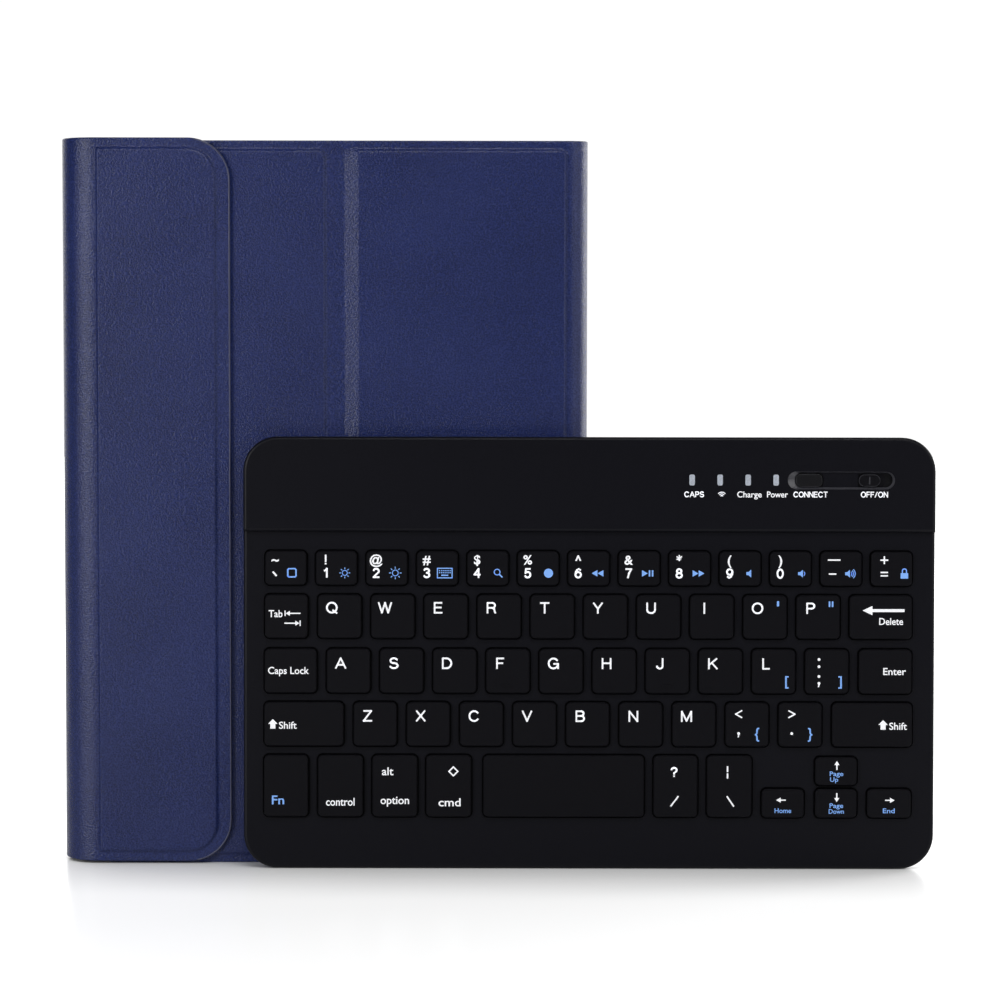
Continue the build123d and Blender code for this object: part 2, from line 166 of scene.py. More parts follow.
def leather():
    """Navy leather with a fine pebble grain."""
    n = Nodes("navy_leather")
    grain = n.cells(1900.0, 0.35)
    pores = n.noise(2900.0, 4.0, 0.65)
    height = n.maths("ADD", n.maths("MULTIPLY", grain, 0.8), n.maths("MULTIPLY", pores, 0.8))
    cloud = n.maths("MULTIPLY", n.noise(40.0, 3.0), 0.25)
    tone = n.maths("ADD", cloud, n.maths("MULTIPLY", height, 0.7))
    colour = n.ramp(tone, (0.0030, 0.0076, 0.050), (0.026, 0.042, 0.174), (0.36, 0.88))
    n.link(colour, n.shader.inputs["Base Color"])
    n.set(Roughness=0.22, Specular_IOR_Level=0.50)
    n.bump(height, 0.00012, 1.0)
    return n.material


def cloth(name, dark, light):
    """Brushed lining cloth."""
    n = Nodes(name)
    fibre = n.noise(1800.0, 4.0, 0.7)
    n.link(n.ramp(fibre, dark, light, (0.3, 0.75)), n.shader.inputs["Base Color"])
    n.set(Roughness=0.95, Specular_IOR_Level=0.15, Sheen_Weight=0.25)
    n.bump(fibre, 0.00006, 0.8)
    return n.material


def plastic(name, colour, rough, specular=0.3, grain=1800.0, depth=0.00002):
    """Moulded plastic with a faint texture."""
    n = Nodes(name)
    fine = n.noise(grain, 2.0)
    low = tuple(c * 0.9 for c in colour)
    high = tuple(min(1.0, c * 1.1) for c in colour)
    n.link(n.ramp(fine, low, high, (0.35, 0.65)), n.shader.inputs["Base Color"])
    n.set(Roughness=rough, Specular_IOR_Level=specular)
    n.bump(fine, depth, 0.5)
    return n.material


def ink_with_painted_glow(name, colour, glow):
    """Printing ink with a painted glow: it gives off light of its own, so it shows a little lighter
    than the light on it.
    """
    n = Nodes(name)
    n.set(Base_Color=(*colour, 1), Roughness=0.7, Specular_IOR_Level=0.1)
    n.set(Emission_Color=(*colour, 1), Emission_Strength=glow)
    return n.material


def metal(name, colour, rough):
    """Bare or plated metal."""
    n = Nodes(name)
    fine = n.noise(900.0, 3.0)
    low = tuple(c * 0.9 for c in colour)
    n.link(n.ramp(fine, low, colour, (0.3, 0.7)), n.shader.inputs["Base Color"])
    n.set(Roughness=rough, Metallic=1.0)
    n.bump(fine, 0.000005, 0.4)
    return n.material


LEATHER = leather()
LINING_CLOTH = cloth("lining_cloth", (0.035, 0.036, 0.042), (0.085, 0.086, 0.095))
SHELL = plastic("shell_black", (0.0050, 0.0050, 0.0085), 0.40, 0.22)
KEY = plastic("key_black", (0.0038, 0.0036, 0.0060), 0.44, 0.20, 2500.0)
# A grey much lighter than the black keys, a painted highlight for the controls' glossy edges.
GREY_EDGE_HIGHLIGHT = plastic("edge_grey_painted_highlight", (0.055, 0.055, 0.066), 0.28, 0.7)
# A blue much lighter than the leather, a painted highlight for the flap's edge.
FLAP_EDGE_HIGHLIGHT = plastic("flap_edge_painted_highlight", (0.060, 0.066, 0.130), 0.30, 0.6)
TRAY = plastic("tray_plastic", (0.012, 0.012, 0.014), 0.55, 0.35)
# White and blue print, each with a painted glow on top of its own colour.
WHITE_GLOW_INK = ink_with_painted_glow("ink_white_painted_glow", (0.88, 0.89, 0.92), 0.45)
BLUE_GLOW_INK = ink_with_painted_glow("ink_blue_painted_glow", (0.24, 0.46, 0.96), 0.30)
FINISH = {
    "lining": LINING_CLOTH,
    "stiffener": plastic("stiffener_board", (0.30, 0.29, 0.27), 0.8, 0.2),
    "magnet": metal("magnet_nickel", (0.62, 0.62, 0.63), 0.3),
    "tray_plastic": TRAY,
    "adhesive": plastic("adhesive_film", (0.70, 0.69, 0.64), 0.7),
    "shell_black": SHELL,
    "key_black": KEY,
    "steel": metal("plain_steel", (0.58, 0.58, 0.60), 0.32),
    "film": plastic("clear_film", (0.68, 0.70, 0.72), 0.3),
    "dome_rubber": plastic("dome_silicone", (0.74, 0.74, 0.71), 0.6),
    "board_green": plastic("circuit_green", (0.02, 0.15, 0.06), 0.4),
    "cell_foil": metal("cell_foil", (0.60, 0.61, 0.63), 0.4),
    "lamp_window": plastic("lamp_window", (0.58, 0.63, 0.72), 0.35, 0.4),
    "foot_rubber": plastic("foot_rubber", (0.012, 0.012, 0.012), 0.85, 0.2, 700.0, 0.00003),
    "switch_plastic": plastic("switch_plastic", (0.009, 0.009, 0.011), 0.35, 0.35),
    "screw_steel": metal("screw_black", (0.16, 0.16, 0.17), 0.35),
    "navy_leather": LEATHER,
}


def paint(obj, material):
    """Gives a piece its one material."""
    if obj.data.materials:
        obj.data.materials[0] = material
    else:
        obj.data.materials.append(material)


def paint_cad():
    """Gives every CAD node the material of its slot."""
    for part in frame["record"]["subparts"]:
        paint(frame["nodes"][part["node"]], FINISH[part["material_slot"]])


def make(name, verts, faces, material, smooth=True):
    """A mesh object from vertices in millimetres."""
    mesh = bpy.data.meshes.new(name)
    mesh.from_pydata([tuple(c * MM for c in v) for v in verts], [], faces)
    mesh.validate()
    mesh.update()
    mesh.materials.append(material)
    for face in mesh.polygons:
        face.use_smooth = smooth
    obj = bpy.data.objects.new(name, mesh)
    bpy.context.scene.collection.objects.link(obj)
    return obj


# ------------------------------------------------------------------ covers
COARSE_S = 5.0                # grid spacing along a sheet, away from its marks
COARSE_Z = 7.0                # and up it
RIM = (0.04, 0.12, 0.25, 0.42, 0.65)    # grid lines this far inside a sheet's edges
CLOSEST = 0.035               # grid lines nearer than this are dropped
RIM_R = 0.55                  # round of a sheet's edge
CORNER_RUN = 3                # a rounded corner's columns even out over this much more
FAR = 500.0                   # moves an edge that meets another sheet out of reach


class Path:
    """A line seen from above, of straight runs and left turns, with its outward normal."""

    def __init__(self, x, y, heading):
        self.runs = []
        self.end = (x, y, math.radians(heading))
        self.length = 0.0

    def line(self, length):
        x, y, a = self.end
        self.runs.append((self.length, length, 0.0, self.end))
        self.end = (x + length * math.cos(a), y + length * math.sin(a), a)
        self.length += length
        return self

    def turn(self, radius, degrees):
        angle = math.radians(degrees)
        self.runs.append((self.length, radius * angle, radius, self.end))
        self.end = self._on(self.runs[-1], radius * angle)
        self.length += radius * angle
        return self

    @staticmethod
    def _on(run, along):
        _, _, radius, (x, y, a) = run
        if not radius:
            return x + along * math.cos(a), y + along * math.sin(a), a
        b = a + along / radius
        return (
            x + radius * (math.sin(b) - math.sin(a)),
            y - radius * (math.cos(b) - math.cos(a)),
            b,
        )

    def at(self, s):
        """(x, y, normal x, normal y) at distance s along the line."""
        chosen = self.runs[0]
        for run in self.runs:
            if s >= run[0]:
                chosen = run
        x, y, a = self._on(chosen, s - chosen[0])
        return x, y, math.sin(a), -math.cos(a)


def stations(low, high, step, marks):
    """Grid positions: even ones, with finer ones around each mark (centre, reach, spacing)."""
    values = list(np.linspace(low, high, max(2, int((high - low) / step) + 1)))
    for centre, reach, spacing in marks:
        values += list(np.arange(centre - reach, centre + reach + spacing / 2, spacing))
    values += [low + r for r in RIM] + [high - r for r in RIM]
    values = sorted(v for v in values if low <= v <= high)
    kept = [low]
    for value in values:
        if value - kept[-1] > CLOSEST:
            kept.append(value)
    kept[-1] = high
    return kept


def inside_of(s, z, s0, s1, z0, z1, r):
    """Distance inside a rounded rectangle, negative outside."""
    qs = abs(s - (s0 + s1) / 2) - ((s1 - s0) / 2 - r)
    qz = abs(z - (z0 + z1) / 2) - ((z1 - z0) / 2 - r)
    return r - math.hypot(max(qs, 0.0), max(qz, 0.0)) - min(max(qs, qz), 0.0)


def ease(t):
    """A smooth step from 0 to 1."""
    t = min(1.0, max(0.0, t))
    return t * t * (3 - 2 * t)


def corner_trim(z, z0, z1, r):
    """How much a rounded corner takes off the width at height z."""
    gap = min(z - z0, z1 - z, r)
    return r - math.sqrt(max(0.0, r * r - (r - gap) ** 2))


def sheet_on(name, path, span, z_span, material, inset=0.0, thick=SKIN, height=None,
             corner=(0.0, 0.0), seam=(False, False), marks=(), z_marks=()):
    """A closed sheet that follows a path, with rounded rims and a raised pattern.

    span is its stretch of the path; seam says which ends meet another sheet and stay square."""
    s0, s1 = span
    z0, z1 = z_span
    columns = stations(s0, s1, COARSE_S, marks)
    rows = stations(z0, z1, COARSE_Z, z_marks)
    half = thick / 2
    e0 = s0 - FAR if seam[0] else s0
    e1 = s1 + FAR if seam[1] else s1
    verts = []
    outer = {}
    inner = {}
    for i, s in enumerate(columns):
        for j, z in enumerate(rows):
            place = s
            if corner[1] and s > s1 - corner[1] - CORNER_RUN:
                start = s1 - corner[1] - CORNER_RUN
                end = s1 - corner_trim(z, z0, z1, corner[1])
                place = start + (s - start) / (s1 - start) * (end - start)
            if corner[0] and s < s0 + corner[0] + CORNER_RUN:
                start = s0 + corner[0] + CORNER_RUN
                end = s0 + corner_trim(z, z0, z1, corner[0])
                place = start - (start - s) / (start - s0) * (start - end)
            r = max(corner)
            edge = inside_of(place, z, e0, e1, z0, z1, r)
            edge = min(max(edge, 0.0) / RIM_R, 1.0)
            swell = half * math.sqrt(max(0.0, 1 - (1 - edge) ** 2))
            on_rim = j in (0, len(rows) - 1)
            on_rim = on_rim or (i == 0 and not seam[0])
            on_rim = on_rim or (i == len(columns) - 1 and not seam[1])
            if on_rim:
                swell = 0.0
            x, y, nx, ny = path.at(place)
            rise = height(place, z) if height else 0.0
            middle = -inset - half
            out = middle + swell + rise
            outer[i, j] = len(verts)
            verts.append((x + nx * out, y + ny * out, z))
            if on_rim:
                inner[i, j] = outer[i, j]
            else:
                inner[i, j] = len(verts)
                back = middle - swell
                verts.append((x + nx * back, y + ny * back, z))
    faces = []
    for i in range(len(columns) - 1):
        for j in range(len(rows) - 1):
            quad = [(i, j), (i + 1, j), (i + 1, j + 1), (i, j + 1)]
            faces.append([outer[q] for q in quad])
            faces.append([inner[q] for q in reversed(quad)])
    for end, i in ((0, 0), (1, len(columns) - 1)):
        if not seam[end]:
            continue
        for j in range(len(rows) - 1):
            quad = [outer[i, j], outer[i, j + 1], inner[i, j + 1], inner[i, j]]
            quad = list(dict.fromkeys(quad))
            if len(quad) > 2:
                faces.append(quad if end == 0 else quad[::-1])
    return make(name, verts, faces, material)


def raised(s0, s1, z0, z1, r, slope, left_slope=None):
    """The raised pattern over a board: RAISE high, with a soft slope round it.

    left_slope, if given, is the width of an even ramp on its left side."""

    def height(s, z):
        if left_slope:
            inside = inside_of(s, z, s0 - PAST_LEFT, s1, z0, z1, r)
            left = min(1.0, max(0.0, (s - s0) / left_slope + 0.5))
            return left * ease(inside / slope + 0.5) * RAISE
        return ease(inside_of(s, z, s0, s1, z0, z1, r) / slope + 0.5) * RAISE

    return height


def punch(obj, x, z, radius):
    """Cuts a round hole along Y through a piece."""
    rounds = 48
    verts = []
    for y in (FRONT - 5, BACK + 5):
        for k in range(rounds):
            a = 2 * math.pi * k / rounds
            verts.append((x + radius * math.cos(a), y, z + radius * math.sin(a)))
    faces = [list(range(rounds))[::-1], list(range(rounds, 2 * rounds))]
    for k in range(rounds):
        n = (k + 1) % rounds
        faces.append([k, n, rounds + n, rounds + k])
    tool = make("punch_tool", verts, faces, LEATHER)
    cut = obj.modifiers.new("hole", "BOOLEAN")
    cut.object = tool
    cut.operation = "DIFFERENCE"
    cut.solver = "EXACT"
    graph = bpy.context.evaluated_depsgraph_get()
    mesh = bpy.data.meshes.new_from_object(obj.evaluated_get(graph))
    obj.modifiers.clear()
    obj.data = mesh
    bpy.data.objects.remove(tool)


front_z = (tray_low[2], tray_high[2])
rear_z = (rear_low[2], rear_high[2])
a_low, a_high = limits("tray_panel_board")
b_low, b_high = limits("prop_panel_board")
r_low, r_high = limits("keyboard_cover_board")
f_low, f_high = limits("flap_board")
WRAP = 0.6                    # the raised leather reaches this far past its board
HEM = 1.6                     # the lining stays this far inside the leather's edge
PAST_LEFT = 200               # takes a raised middle's own left edge out of reach
PLATE_R = 2.0                 # corners of the raised middles
PLATE_SLOPE = 1.3             # width of the slope round them
CREASE_RAMP = 4.2             # width of the ramp right of the crease
FLAP_PLATE_R = FLAP_CORNER - 4
FLAP_SLOPE = 1.2
FLAP_RAMP = 0.7
COVER_CORNER = 6.0            # corners of the front cover's free side
COVER_LINING_CORNER = 5.0
bay_low, _ = limits("tablet_tray")
CAMERA_HOLE = (bay_low[0] + 11.1, tray_high[2] - 16.1)
CAMERA_HOLE_R = 5.0


def front_cover():
    """Leather and lining of the tray panel and the prop panel, made as one sheet across the crease
    where the panels fold.
    """
    start = tray_low[0]
    path = Path(start, PANEL_Y, 0).line(SPINE_X - start)
    z0, z1 = front_z
    plate_a = raised(a_low[0] - WRAP - start, a_high[0] + WRAP - start, a_low[2] - WRAP,
                     a_high[2] + WRAP, PLATE_R, PLATE_SLOPE)
    plate_b = raised(b_low[0] - WRAP - start, b_high[0] + WRAP - start, b_low[2] - WRAP,
                     b_high[2] + WRAP, PLATE_R, PLATE_SLOPE, CREASE_RAMP)

    def height(s, z):
        return plate_a(s, z) if s < CREASE - start else plate_b(s, z)

    marks = [(a_low[0] - start, 4, 0.3), (a_high[0] - start, 2.5, 0.22),
             (CREASE - start, 2.5, 0.4), (b_low[0] - start, 3.2, 0.25),
             (b_high[0] - start, 2.5, 0.22)]
    z_marks = [(a_low[2], 3.4, 0.3), (a_high[2], 3.4, 0.3)]
    skin = sheet_on("front_cover_leather", path, (0, path.length), front_z, LEATHER,
                    height=height, corner=(COVER_CORNER, 0), seam=(False, True),
                    marks=marks, z_marks=z_marks)
    lining = sheet_on("front_cover_lining", path, (HEM, path.length), (z0 + HEM, z1 - HEM),
                      LINING_CLOTH, inset=SKIN, thick=LINING, corner=(COVER_LINING_CORNER, 0),
                      seam=(False, True), marks=[(CREASE - start, 4, 0.5)])
    for piece in (skin, lining):
        punch(piece, *CAMERA_HOLE, CAMERA_HOLE_R)
        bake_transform(piece)
    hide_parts("tray_panel_skin", "prop_panel_skin")
    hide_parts("tray_panel_lining", "prop_panel_lining")


def spine():
    """Leather and lining round the right spine."""
    depth = REAR_Y - PANEL_Y - 2 * SPINE_R
    path = Path(SPINE_X, PANEL_Y, 0).turn(SPINE_R, 90).line(depth).turn(SPINE_R, 90)
    z0 = min(front_z[0], rear_z[0])
    marks = [(path.length / 2, path.length / 2, 0.6)]
    lift = rear_z[0] - front_z[0]
    for name, inset, thick, edge, material in (
        ("spine_leather", 0.0, SKIN, 0.0, LEATHER),
        ("spine_lining", SKIN, LINING, HEM, LINING_CLOTH),
    ):
        piece = sheet_on(name, path, (0, path.length), (z0 + edge, front_z[1] - edge), material,
                         inset=inset, thick=thick, seam=(True, True), marks=marks)
        for vertex in piece.data.vertices:
            share = (vertex.co.y / MM - PANEL_Y) / (REAR_Y - PANEL_Y)
            vertex.co.z += lift * MM * ease(share)
        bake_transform(piece)


def rear_cover():
    """Leather and lining of the rear cover, the left bend and the closure flap."""
    flat = SPINE_X - (LEFT + BEND_R)
    path = Path(SPINE_X, REAR_Y, 180).line(flat).turn(BEND_R, 180)
    path.line(flap_high[0] - LEFT - BEND_R)
    bend = math.pi * BEND_R
    plate_r = raised(SPINE_X - r_high[0] - WRAP, SPINE_X - r_low[0] + WRAP, r_low[2] - WRAP,
                     r_high[2] + WRAP, PLATE_R, PLATE_SLOPE)
    flap_s = flat + bend - (LEFT + BEND_R)
    plate_f = raised(flap_s + f_low[0] - WRAP, flap_s + f_high[0] + WRAP, f_low[2] - WRAP,
                     f_high[2] + WRAP, FLAP_PLATE_R, FLAP_SLOPE, FLAP_RAMP)

    def height(s, z):
        return plate_r(s, z) if s < flat + bend / 2 else plate_f(s, z)

    marks = [(SPINE_X - r_high[0], 2.5, 0.25), (SPINE_X - r_low[0], 2.5, 0.25),
             (flat + bend / 2, bend / 2, 0.7), (flap_s + f_low[0] - WRAP, 1.6, 0.12),
             (flap_s + f_high[0] - 3, 7.5, 0.35), (path.length - 3, 3, 0.35)]
    z_marks = [(rear_z[0] + 7, 7, 0.35), (rear_z[1] - 7, 7, 0.35)]
    skin = sheet_on("rear_cover_leather", path, (0, path.length), rear_z, LEATHER, height=height,
                    corner=(0, FLAP_CORNER), seam=(True, False), marks=marks, z_marks=z_marks)
    lining = sheet_on("rear_cover_lining", path, (0, path.length - HEM),
                      (rear_z[0] + HEM, rear_z[1] - HEM), LINING_CLOTH, inset=SKIN, thick=LINING,
                      corner=(0, FLAP_CORNER - HEM), seam=(True, False),
                      marks=[(flat + bend / 2, bend / 2, 0.9), (path.length - 8, 8, 0.8)],
                      z_marks=[(rear_z[0] + 7, 7, 0.8), (rear_z[1] - 7, 7, 0.8)])
    for piece in (skin, lining):
        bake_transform(piece)
    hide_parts("keyboard_cover_skin", "flap_skin")
    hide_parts("keyboard_cover_lining", "flap_lining")


def flap_edge():
    """The cut edge of the flap, a fine glossy bead round its free side. Its gloss catches the
    lamps, and its colour, lighter than the leather, is a painted highlight.
    """
    r, sides = 0.30, 8
    x, corner = flap_high[0] - r + 0.02, FLAP_CORNER - r
    z0, z1 = rear_z[0] + r, rear_z[1] - r
    line = [(x - corner + corner * math.cos(a), z1 - corner + corner * math.sin(a))
            for a in (math.radians(80 - 8 * k) for k in range(11))]
    line += [(px, z0 + z1 - pz) for px, pz in reversed(line)]
    verts, faces = [], []
    for k, (px, pz) in enumerate(line):
        ax, az = line[max(k - 1, 0)]
        bx, bz = line[min(k + 1, len(line) - 1)]
        long = math.hypot(bx - ax, bz - az)
        out_x, out_z = -(bz - az) / long, (bx - ax) / long
        for j in range(sides):
            a = 2 * math.pi * j / sides
            verts.append((px + r * math.cos(a) * out_x, FLAP_Y + 0.22 - r * math.sin(a),
                          pz + r * math.cos(a) * out_z))
    for k in range(len(line) - 1):
        for j in range(sides):
            n = (j + 1) % sides
            faces.append([k * sides + j, k * sides + n, (k + 1) * sides + n, (k + 1) * sides + j])
    faces.append(list(range(sides))[::-1])
    faces.append(list(range((len(line) - 1) * sides, len(line) * sides)))
    piece = make("flap_edge_bead", verts, faces, FLAP_EDGE_HIGHLIGHT)
    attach(piece, "flap")


# ------------------------------------------------------------------ printed marks on the keyboard
INK_PROUD = 0.02
INK_SUNK = 0.01
INKS = {"white": WHITE_GLOW_INK, "blue": BLUE_GLOW_INK}
ink = {}


def add_ink(body, colour, verts, faces):
    """Collects a mark; verts are (x, t, front or back) on the keyboard's front."""
    kept_verts, kept_faces = ink.setdefault((body, colour), ([], []))
    base = len(kept_verts)
    for x, t, front in verts:
        w = KB_TOP + INK_PROUD if front else KB_TOP - INK_SUNK
        kept_verts.append(tuple(on_keyboard(x, t, w)))
    kept_faces.extend([[base + k for k in face] for face in faces])


def patch(body, colour, outline):
    """A filled flat shape."""
    count = len(outline)
    verts = [(x, t, True) for x, t in outline] + [(x, t, False) for x, t in outline]
    faces = [list(range(count)), list(range(count, 2 * count))[::-1]]
    for k in range(count):
        n = (k + 1) % count
        faces.append([k, count + k, count + n, n])
    add_ink(body, colour, verts, faces)


def stroke(body, colour, points, width=0.35, closed=False):
    """A line of even width through some points, made of short bars."""
    pairs = list(zip(points, points[1:]))
    if closed:
        pairs.append((points[-1], points[0]))
    for (x0, t0), (x1, t1) in pairs:
        long = math.hypot(x1 - x0, t1 - t0)
        dx, dt = (x1 - x0) / long, (t1 - t0) / long
        grow = width * 0.35
        ax, at = x0 - dx * grow, t0 - dt * grow
        bx, bt = x1 + dx * grow, t1 + dt * grow
        ox, ot = -dt * width / 2, dx * width / 2
        patch(body, colour, [(ax + ox, at + ot), (bx + ox, bt + ot),
                             (bx - ox, bt - ot), (ax - ox, at - ot)])


def arc(x, t, r, start, end, steps=10):
    """Points on an arc; angles in degrees, 0 to the right and 90 up."""
    made = []
    for k in range(steps + 1):
        a = math.radians(start + (end - start) * k / steps)
        made.append((x + r * math.cos(a), t - r * math.sin(a)))
    return made


def disc(body, colour, x, t, r):
    """A filled round spot."""
    patch(body, colour, arc(x, t, r, 0, 330, 11))


def glyph_mesh(text, bold):
    """The mesh of a line of text at size 1, as (vertices, faces)."""
    curve = bpy.data.curves.new("line_of_text", "FONT")
    curve.body = text
    curve.size = 1.0
    curve.extrude = 0.02
    curve.offset = bold
    curve.resolution_u = 4
    obj = bpy.data.objects.new("line_of_text", curve)
    bpy.context.scene.collection.objects.link(obj)
    graph = bpy.context.evaluated_depsgraph_get()
    mesh = bpy.data.meshes.new_from_object(obj.evaluated_get(graph))
    verts = [tuple(v.co) for v in mesh.vertices]
    mesh.calc_loop_triangles()
    faces = [list(t.vertices) for t in mesh.loop_triangles]
    bpy.data.objects.remove(obj)
    bpy.data.meshes.remove(mesh)
    return verts, faces


CAP_HEIGHT = max(v[1] for v in glyph_mesh("H", 0.0)[0])


def letters(body, text, x, t, tall, colour="white", bold=0.012, wide=None):
    """Text whose capitals are tall mm high, centred; wide, if given, is the length of the line."""
    verts, faces = glyph_mesh(text, bold)
    scale = tall / CAP_HEIGHT
    low = min(v[0] for v in verts)
    high = max(v[0] for v in verts)
    across = wide / (high - low) if wide else scale
    placed = []
    for vx, vy, vz in verts:
        placed.append((x + (vx - (low + high) / 2) * across, t - vy * scale + tall / 2, vz > 0))
    add_ink(body, colour, placed, faces)


# Capitals and numbers as pen lines. Each number list is x, y, x, y ...; a six-number tuple is an
# arc: centre x, centre y, radius x, radius y, start and end angle. The first value is the width.
PEN = {
    "A": (0.86, [0, 0, 0.43, 1, 0.86, 0], [0.15, 0.33, 0.71, 0.33]),
    "B": (0.68, [0.42, 1, 0, 1, 0, 0, 0.44, 0], [0, 0.53, 0.44, 0.53],
          (0.42, 0.765, 0.22, 0.235, 90, -90), (0.44, 0.265, 0.24, 0.265, 90, -90)),
    "C": (0.80, (0.42, 0.5, 0.42, 0.5, 38, 322)),
    "D": (0.76, [0.32, 1, 0, 1, 0, 0, 0.32, 0], (0.32, 0.5, 0.44, 0.5, 90, -90)),
    "E": (0.64, [0.62, 1, 0, 1, 0, 0, 0.64, 0], [0, 0.53, 0.57, 0.53]),
    "F": (0.58, [0.58, 1, 0, 1, 0, 0], [0, 0.52, 0.50, 0.52]),
    "G": (0.84, (0.42, 0.5, 0.42, 0.5, 38, 345), [0.46, 0.46, 0.84, 0.46, 0.84, 0]),
    "H": (0.72, [0, 0, 0, 1], [0.72, 0, 0.72, 1], [0, 0.53, 0.72, 0.53]),
    "I": (0.0, [0, 0, 0, 1]),
    "J": (0.50, [0.50, 1, 0.50, 0.27], (0.25, 0.27, 0.25, 0.27, 0, -175)),
    "K": (0.72, [0, 0, 0, 1], [0.68, 1, 0, 0.36], [0.25, 0.59, 0.72, 0]),
    "L": (0.54, [0, 1, 0, 0, 0.54, 0]),
    "M": (0.84, [0, 0, 0, 1, 0.42, 0.05, 0.84, 1, 0.84, 0]),
    "N": (0.72, [0, 0, 0, 1, 0.72, 0, 0.72, 1]),
    "O": (0.88, (0.44, 0.5, 0.44, 0.5, 0, 360)),
    "P": (0.64, [0, 0, 0, 1, 0.38, 1], [0, 0.48, 0.38, 0.48], (0.38, 0.74, 0.26, 0.26, 90, -90)),
    "Q": (0.88, (0.44, 0.5, 0.44, 0.5, 0, 360), [0.54, 0.24, 0.88, -0.05]),
    "R": (0.70, [0, 0, 0, 1, 0.42, 1], [0, 0.50, 0.42, 0.50], (0.42, 0.75, 0.24, 0.25, 90, -90),
          [0.42, 0.50, 0.60, 0.38, 0.64, 0.12, 0.70, 0]),
    "S": (0.68, (0.34, 0.755, 0.30, 0.245, 20, 265), (0.34, 0.255, 0.34, 0.255, 95, -160)),
    "T": (0.72, [0, 1, 0.72, 1], [0.36, 1, 0.36, 0]),
    "U": (0.70, [0, 1, 0, 0.34], (0.35, 0.34, 0.35, 0.34, 180, 360), [0.70, 0.34, 0.70, 1]),
    "V": (0.78, [0, 1, 0.39, 0, 0.78, 1]),
    "W": (1.12, [0, 1, 0.28, 0, 0.56, 1, 0.84, 0, 1.12, 1]),
    "X": (0.74, [0, 0, 0.72, 1], [0, 1, 0.74, 0]),
    "Y": (0.76, [0, 1, 0.38, 0.42, 0.76, 1], [0.38, 0.42, 0.38, 0]),
    "Z": (0.70, [0.02, 1, 0.68, 1, 0, 0, 0.70, 0]),
    "/": (0.42, [0, 0, 0.42, 1]),
    "?": (0.54, (0.27, 0.74, 0.27, 0.26, 170, -45), [0.46, 0.56, 0.27, 0.40, 0.27, 0.26],
          [0.27, 0.05, 0.27, 0]),
    "!": (0.0, [0, 1, 0, 0.30], [0, 0.05, 0, 0]),
    "0": (0.56, (0.28, 0.5, 0.28, 0.5, 0, 360)),
    "1": (0.24, [0, 0.76, 0.14, 0.82, 0.24, 1, 0.24, 0]),
    "2": (0.56, (0.28, 0.71, 0.27, 0.29, 165, -25), [0.53, 0.59, 0.30, 0.34, 0, 0, 0.56, 0]),
    "3": (0.56, (0.27, 0.755, 0.25, 0.245, 160, -90), (0.28, 0.255, 0.28, 0.255, 90, -160)),
    "4": (0.58, [0.43, 0, 0.43, 1, 0, 0.32, 0.58, 0.32]),
    "5": (0.55, [0.52, 1, 0.10, 1, 0.04, 0.50], (0.27, 0.32, 0.28, 0.32, 130, -155)),
    "6": (0.56, (0.28, 0.32, 0.28, 0.32, 0, 360),
          [0.50, 0.88, 0.34, 1, 0.15, 0.88, 0.03, 0.62, 0, 0.34]),
    "7": (0.56, [0, 1, 0.56, 1, 0.32, 0.52, 0.20, 0]),
    "8": (0.56, (0.28, 0.765, 0.23, 0.235, 0, 360), (0.28, 0.27, 0.28, 0.27, 0, 360)),
    "9": (0.56, (0.28, 0.68, 0.28, 0.32, 0, 360),
          [0.56, 0.66, 0.53, 0.38, 0.41, 0.12, 0.22, 0, 0.06, 0.12]),
}


def pen(body, char, x, t, tall, weight=0.145, spread=1.13):
    """A capital or a number drawn with a pen of even width; x, t is its middle."""
    width, *parts = PEN[char]
    line = tall * weight
    high = tall - line
    wide = high * spread
    for part in parts:
        if isinstance(part, tuple):
            cx, cy, rx, ry, start, end = part
            steps = max(4, int(abs(end - start) / 18))
            turn = [math.radians(start + (end - start) * k / steps) for k in range(steps + 1)]
            points = [(cx + rx * math.cos(a), cy + ry * math.sin(a)) for a in turn]
        else:
            points = list(zip(part[::2], part[1::2]))
        placed = [(x + (px - width / 2) * wide, t - (py - 0.5) * high) for px, py in points]
        stroke(body, "white", placed, line)


def capitals(body, text, x, t, tall, wide, weight=0.17, gap=0.27):
    """A word of pen capitals, centred, wide mm long."""
    total = sum(PEN[char][0] for char in text) + gap * (len(text) - 1)
    unit = (wide - tall * weight) / total
    at = x - unit * total / 2
    for char in text:
        width = PEN[char][0] * unit
        pen(body, char, at + width / 2, t, tall, weight, unit / (tall * (1 - weight)))
        at += width + gap * unit


# ---- key positions: left edges from the keyboard's left end, rows from its top edge
ROWS = {"number": 33.5, "upper": 46.3, "home": 62.2, "lower": 77.9, "space": 93.5}
number_x = [6.5 + 14.8 * i for i in range(13)]
upper_x = [21.9 + 15.6 * i for i in range(10)]
home_x = [24.5 + 15.6 * i for i in range(10)]
lower_x = [32.4 + 15.6 * i for i in range(9)]
LETTER = 3.4
SYMBOL = 2.6


def sun(body, x, t, r):
    """A round lamp with rays."""
    stroke(body, "blue", arc(x, t, r * 0.5, 0, 330, 11), 0.22, True)
    for k in range(8):
        a = 45 * k
        stroke(body, "blue", [arc(x, t, r * 0.78, a, a, 1)[0], arc(x, t, r, a, a, 1)[0]], 0.25)


def speaker(body, x, t, waves):
    """A loudspeaker with a number of sound waves."""
    x -= 0.35 * waves
    patch(body, "blue", [(x - 0.9, t - 0.45), (x - 0.3, t - 0.45), (x + 0.5, t - 1.15),
                         (x + 0.5, t + 1.15), (x - 0.3, t + 0.45), (x - 0.9, t + 0.45)])
    for k in range(waves):
        stroke(body, "blue", arc(x + 0.3, t, 0.75 + 0.5 * k, -45, 45, 6), 0.24)


